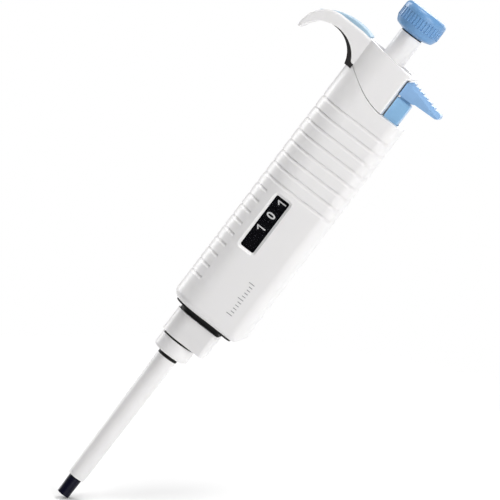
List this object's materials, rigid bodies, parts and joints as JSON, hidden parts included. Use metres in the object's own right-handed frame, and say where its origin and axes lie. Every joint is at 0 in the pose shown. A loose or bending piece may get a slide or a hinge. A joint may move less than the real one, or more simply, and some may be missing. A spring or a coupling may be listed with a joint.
{
  "type": "adjustable micropipette",
  "caption": "Adjustable air-displacement micropipette with a turning push button, finger hook, blue thumb ejector, drum volume window, grooved handle and long ejector tube.",
  "frame": {"origin": "centre of the tip cone's open end", "axes": "+Z along the pipette towards the push button, -Y out of the volume window, -X towards the finger hook's tip, +X towards the ejector lever"},
  "size_m": [0.0659, 0.027, 0.2372],
  "materials": {
    "white_plastic": "moulded, satin gloss",
    "button_blue": "moulded, satin gloss",
    "lever_blue": "moulded, satin gloss",
    "bar_blue": "moulded, satin gloss",
    "pad_blue": "soft moulded inlay",
    "liner_dark": "soft lining",
    "cone_navy": "moulded, glossy",
    "drum_black": "matt",
    "grey_plastic": "matt",
    "natural_plastic": "unpigmented",
    "black_rubber": "matt",
    "lens": "clear",
    "steel": "drawn",
    "chrome": "polished",
    "brass": "turned"
  },
  "bodies": {
    "body": {"handle_shell": "white_plastic", "head_shell": "white_plastic", "hook_liner": "liner_dark", "hook_pad": "pad_blue", "stem_bush": "natural_plastic", "window_lens": "lens", "bumper_ring": "black_rubber", "fixed_nut": "brass", "nut_tower": "grey_plastic", "counter_top_plate": "drum_black", "counter_bottom_plate": "drum_black", "frame_posts": "steel", "frame_screws": "steel", "pinion_shaft": "steel", "main_spring": "steel", "blowout_spring": "steel", "stop_ring": "steel", "barrel": "natural_plastic", "tip_cone": "cone_navy", "piston_seal": "natural_plastic", "seal_o_ring": "black_rubber", "seal_retainer": "steel", "barrel_nut": "grey_plastic", "ejector_spring": "steel"},
    "feed": {"thrust_washer": "steel"},
    "screw": {"adjusting_screw": "brass"},
    "plunger": {"piston": "chrome", "piston_holder": "natural_plastic"},
    "button": {"push_button": "button_blue", "neck_ring": "black_rubber", "stem": "white_plastic", "operating_rod": "steel", "rod_collar": "steel"},
    "units": {"drum_hub": "grey_plastic", "drive_drum": "drum_black", "units_drum": "drum_black"},
    "tens": {"tens_drum": "drum_black"},
    "hundreds": {"hundreds_drum": "drum_black"},
    "carry_low": {"carry_pinion_low": "natural_plastic"},
    "carry_high": {"carry_pinion_high": "natural_plastic"},
    "ejector": {"ejector_lever": "lever_blue", "ejector_bar": "bar_blue", "ejector_rod": "steel", "ejector_yoke": "white_plastic", "gap_ring": "black_rubber", "ejector_collar": "white_plastic", "tube_band": "black_rubber", "ejector_tube": "white_plastic"}
  },
  "joints": [
    {"name": "volume_dial", "type": "hinge", "parent": "plunger", "child": "button", "pos_m": [0, 0, 0.2318], "axis": [0, 0, 1], "range_deg": [-3277, 0]},
    {"name": "volume_feed", "type": "slide", "parent": "body", "child": "feed", "axis": [0, 0, 1], "range_m": [-0.00637, 0]},
    {"name": "screw_turn", "type": "hinge", "parent": "feed", "child": "screw", "pos_m": [0, 0, 0.17], "axis": [0, 0, 1], "range_deg": [-3277, 0]},
    {"name": "plunger_press", "type": "slide", "parent": "feed", "child": "plunger", "axis": [0, 0, 1], "range_m": [-0.00887, 0], "stiffness_N_per_m": 400, "springref_m": 0.008, "deforming": ["main_spring"]},
    {"name": "units_turn", "type": "hinge", "parent": "body", "child": "units", "pos_m": [0, 0, 0.144], "axis": [0, 0, 1], "range_deg": [-3277, 0]},
    {"name": "tens_turn", "type": "hinge", "parent": "body", "child": "tens", "pos_m": [0, 0, 0.1381], "axis": [0, 0, 1], "range_deg": [-328.6, 0]},
    {"name": "hundreds_turn", "type": "hinge", "parent": "body", "child": "hundreds", "pos_m": [0, 0, 0.1323], "axis": [0, 0, 1], "range_deg": [-33.76, 0]},
    {"name": "carry_low_turn", "type": "hinge", "parent": "body", "child": "carry_low", "pos_m": [0.01057, 0.0066, 0.1352], "axis": [0, 0, 1], "range_deg": [0, 82.9]},
    {"name": "carry_high_turn", "type": "hinge", "parent": "body", "child": "carry_high", "pos_m": [0.01057, 0.0066, 0.141], "axis": [0, 0, 1], "range_deg": [0, 820]},
    {"name": "eject", "type": "slide", "parent": "body", "child": "ejector", "axis": [0, 0, 1], "range_m": [-0.007, 0], "stiffness_N_per_m": 450, "springref_m": 0.007, "deforming": ["ejector_spring"]}
  ],
  "couplings": [
    {"joint": "volume_dial", "follows": "volume_feed", "rad_per_m": 8976},
    {"joint": "screw_turn", "follows": "volume_feed", "rad_per_m": 8976},
    {"joint": "units_turn", "follows": "volume_feed", "rad_per_m": 8976},
    {"joint": "tens_turn", "follows": "volume_feed", "rad_per_m": 897.6},
    {"joint": "hundreds_turn", "follows": "volume_feed", "rad_per_m": 89.76},
    {"joint": "carry_high_turn", "follows": "volume_feed", "rad_per_m": -2244},
    {"joint": "carry_low_turn", "follows": "volume_feed", "rad_per_m": -224.4}
  ]
}
